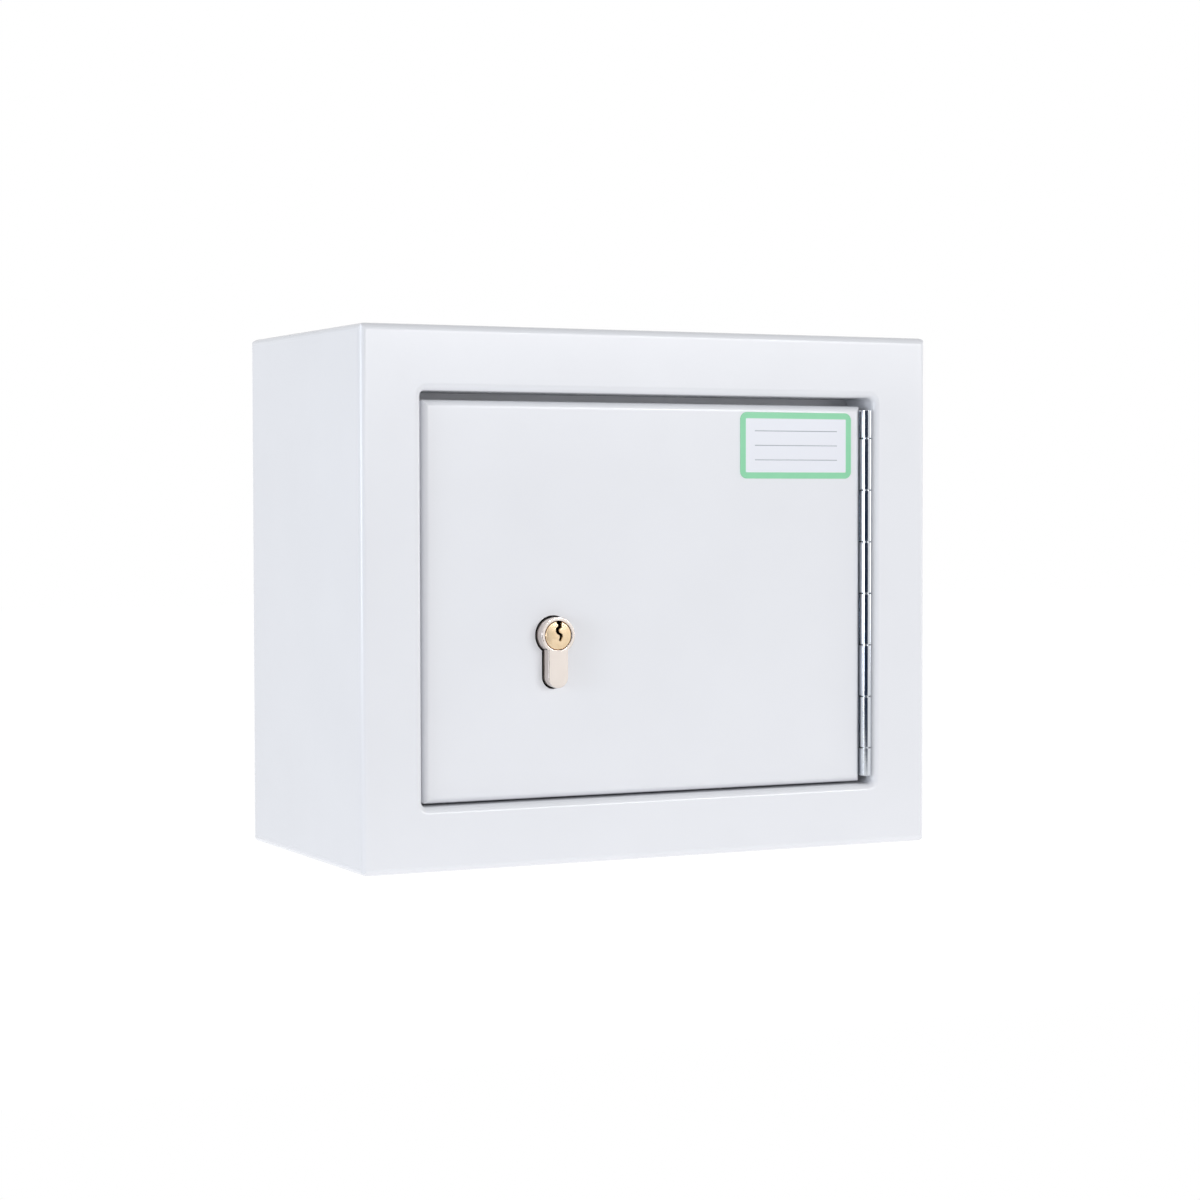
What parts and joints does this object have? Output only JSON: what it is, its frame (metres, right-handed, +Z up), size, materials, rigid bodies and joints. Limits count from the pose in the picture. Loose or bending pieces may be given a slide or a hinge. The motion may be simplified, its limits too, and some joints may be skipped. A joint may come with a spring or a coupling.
{
  "type": "lockable medicine cabinet",
  "caption": "Small wall-hung steel medicine cabinet with a flush lockable door on a piano hinge, a profile-cylinder lock, a dead bolt and an inner shelf.",
  "frame": {"origin": "middle of the four wall holes, on the outside of the back", "axes": "+X to the right seen from the front, +Y into the wall, +Z up"},
  "size_m": [0.3, 0.1523, 0.25],
  "materials": {
    "white_powder_coat": "smooth semi-gloss white powder coat on steel",
    "bright_zinc_plate": "bright zinc plate on steel",
    "rivet_aluminium": "plain aluminium",
    "pale_rubber": "moulded",
    "hardened_steel": "blackened and oiled hardened steel",
    "spring_steel": "bright spring steel",
    "satin_nickel": "satin nickel plate on brass",
    "satin_nickel_steel": "satin nickel plate on steel",
    "polished_brass": "turned and polished brass",
    "label_film": "printed self-adhesive film"
  },
  "bodies": {
    "cabinet": {"body_shell": "white_powder_coat", "back_panel": "white_powder_coat", "anchor_plate": "white_powder_coat", "upper_stop_bar": "white_powder_coat", "lower_stop_bar": "white_powder_coat", "door_buffers": "pale_rubber", "bolt_keep": "white_powder_coat", "hinge_frame_leaf": "bright_zinc_plate", "hinge_pin": "bright_zinc_plate", "frame_leaf_rivets": "rivet_aluminium", "shelf": "white_powder_coat", "left_shelf_bracket": "white_powder_coat", "right_shelf_bracket": "white_powder_coat"},
    "door": {"door_panel": "white_powder_coat", "door_inner_tray": "white_powder_coat", "lock_guard_plate": "hardened_steel", "hinge_door_leaf": "bright_zinc_plate", "door_leaf_rivets": "rivet_aluminium", "label": "label_film", "lock_case": "bright_zinc_plate", "lock_cover": "bright_zinc_plate", "lock_spacers": "bright_zinc_plate", "lock_fixing_screws": "bright_zinc_plate", "weld_nuts": "hardened_steel", "bolt_guide_post": "hardened_steel", "bolt_brake_spring": "spring_steel", "cylinder_body": "satin_nickel", "cylinder_fixing_screw": "bright_zinc_plate", "driver_pins": "polished_brass", "pin_springs": "spring_steel", "chamber_plugs": "polished_brass"},
    "key_plug": {"key_plug": "polished_brass", "key_pins": "polished_brass", "cam": "hardened_steel", "plug_clip": "spring_steel"},
    "bolt": {"dead_bolt": "satin_nickel_steel"}
  },
  "joints": [
    {"name": "door_hinge", "type": "hinge", "parent": "cabinet", "child": "door", "pos_m": [0.117, -0.1474, 0], "axis": [0, 0, 1], "range_deg": [0, 165]},
    {"name": "key_turn", "type": "hinge", "parent": "door", "child": "key_plug", "pos_m": [-0.0527, -0.12, -0.0178], "axis": [0, -1, 0], "range_deg": [0, 70]},
    {"name": "bolt_slide", "type": "slide", "parent": "door", "child": "bolt", "axis": [-1, 0, 0], "range_m": [0, 0.014]}
  ],
  "couplings": [
    {"joint": "key_turn", "follows": "bolt_slide", "rad_per_m": 87.266}
  ]
}
